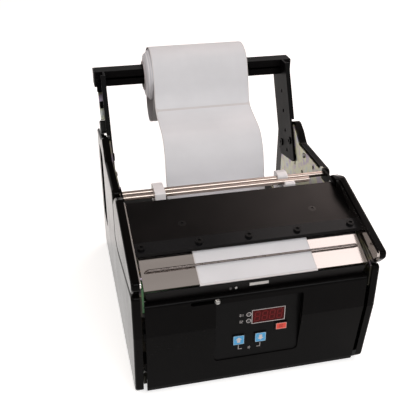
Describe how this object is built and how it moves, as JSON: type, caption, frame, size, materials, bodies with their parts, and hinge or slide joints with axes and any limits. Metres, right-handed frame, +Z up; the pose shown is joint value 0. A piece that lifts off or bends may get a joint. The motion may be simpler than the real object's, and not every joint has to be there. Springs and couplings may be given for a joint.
{
  "type": "label dispenser",
  "caption": "Desktop motor-driven label dispenser: gloss black body, hinged lid over the peel table, red display and keys, label roll on a bar between rear arms.",
  "frame": {"origin": "on the bench at the middle of the feet's underside, X middle of the body, Y zero 138 mm ahead of the body's rear edge", "axes": "+X to the user's right, -Y towards the user and the peel edge, +Y to the rear where the roll hangs, +Z up"},
  "size_m": [0.212, 0.2957, 0.2352],
  "materials": {
    "gloss_black": "glossy",
    "black_sheet": "satin",
    "black_plastic": "matte",
    "zinc_sheet": "satin",
    "polished_steel": "polished",
    "plain_steel": "satin",
    "black_screws": "satin",
    "bronze": "satin",
    "label_paper": "satin",
    "backing_paper": "satin",
    "core_card": "matte",
    "white_plastic": "satin",
    "roller_rubber": "matte",
    "grey_felt": "matte",
    "board_green": "satin",
    "part_black": "matte",
    "overlay_film": "satin",
    "red_window": "glossy",
    "blue_key": "satin",
    "red_key": "satin",
    "lamp_white": "satin"
  },
  "bodies": {
    "base": {"arm_bolts": "black_screws", "arm_left": "black_sheet", "arm_right": "black_sheet", "arm_stops": "black_sheet", "bar_plugs": "black_plastic", "board_parts": "part_black", "bottom_plate": "zinc_sheet", "chassis_plate_left": "zinc_sheet", "chassis_plate_right": "zinc_sheet", "control_board": "board_green", "display_module": "black_plastic", "display_window": "red_window", "front_panel": "gloss_black", "front_shelf": "black_sheet", "gear_motor": "plain_steel", "guide_rods": "polished_steel", "hinge_pins": "plain_steel", "hold_down_wire": "polished_steel", "indicator_lamps": "lamp_white", "label_sensor": "black_plastic", "label_table": "polished_steel", "label_web": "label_paper", "main_board": "board_green", "membrane_overlay": "overlay_film", "motor_bracket": "zinc_sheet", "power_inlet": "black_plastic", "power_switch_frame": "black_plastic", "rear_panel": "black_sheet", "roll_bar": "black_sheet", "roller_bushes": "bronze", "rubber_feet": "roller_rubber", "sensor_optics": "lamp_white", "side_board": "board_green", "side_cover_left": "gloss_black", "side_cover_right": "gloss_black", "small_screws": "plain_steel", "spacers": "zinc_sheet", "waste_liner": "backing_paper"},
    "lid": {"lid_cover": "black_sheet", "lid_cheek_left": "gloss_black", "lid_cheek_right": "gloss_black", "lid_side_plate_left": "polished_steel", "lid_side_plate_right": "polished_steel", "lid_felt": "grey_felt", "lid_screws": "black_screws"},
    "drive_roller": {"drive_shaft": "plain_steel", "drive_roller_sleeve": "roller_rubber", "drive_gear": "bronze"},
    "pinch_roller": {"pinch_shaft": "plain_steel", "pinch_roller_sleeve": "roller_rubber"},
    "motor_rotor": {"motor_pinion": "plain_steel"},
    "roll": {"label_core": "core_card", "label_roll": "label_paper"},
    "left_guide": {"guide_left": "white_plastic"},
    "right_guide": {"guide_right": "white_plastic"},
    "adjuster": {"sensor_adjuster": "plain_steel"},
    "up_key": {"key_up": "blue_key"},
    "down_key": {"key_down": "blue_key"},
    "red_key": {"key_reset": "red_key"},
    "rocker": {"power_rocker": "black_plastic"}
  },
  "joints": [
    {"name": "lid_hinge", "type": "hinge", "parent": "base", "child": "lid", "pos_m": [0, -0.0335, 0.1435], "axis": [-1, 0, 0], "range_deg": [0, 68]},
    {"name": "drive_spin", "type": "hinge", "parent": "base", "child": "drive_roller", "pos_m": [0, -0.098, 0.106], "axis": [1, 0, 0], "continuous": true},
    {"name": "pinch_spin", "type": "hinge", "parent": "base", "child": "pinch_roller", "pos_m": [0, -0.10828, 0.09196], "axis": [1, 0, 0], "continuous": true},
    {"name": "motor_spin", "type": "hinge", "parent": "base", "child": "motor_rotor", "pos_m": [0, -0.071, 0.106], "axis": [1, 0, 0], "continuous": true},
    {"name": "roll_spin", "type": "hinge", "parent": "base", "child": "roll", "pos_m": [0, 0.1264, 0.20646], "axis": [1, 0, 0], "continuous": true},
    {"name": "left_guide_slide", "type": "slide", "parent": "base", "child": "left_guide", "axis": [-1, 0, 0], "range_m": [-0.008, 0.026]},
    {"name": "right_guide_slide", "type": "slide", "parent": "base", "child": "right_guide", "axis": [1, 0, 0], "range_m": [0, 0.018]},
    {"name": "adjuster_slide", "type": "slide", "parent": "base", "child": "adjuster", "axis": [-1, 0, 0], "range_m": [0, 0.0195]},
    {"name": "up_key_press", "type": "slide", "parent": "base", "child": "up_key", "axis": [0, 1, 0], "range_m": [0, 0.0006], "stiffness_N_per_m": 800},
    {"name": "down_key_press", "type": "slide", "parent": "base", "child": "down_key", "axis": [0, 1, 0], "range_m": [0, 0.0006], "stiffness_N_per_m": 800},
    {"name": "red_key_press", "type": "slide", "parent": "base", "child": "red_key", "axis": [0, 1, 0], "range_m": [0, 0.0006], "stiffness_N_per_m": 800},
    {"name": "rocker_tilt", "type": "hinge", "parent": "base", "child": "rocker", "pos_m": [0.072, 0.1325, 0.034], "axis": [1, 0, 0], "range_deg": [0, 14]}
  ],
  "couplings": [
    {"joint": "pinch_spin", "follows": "drive_spin", "ratio": -1.4286},
    {"joint": "motor_spin", "follows": "drive_spin", "ratio": -2}
  ]
}
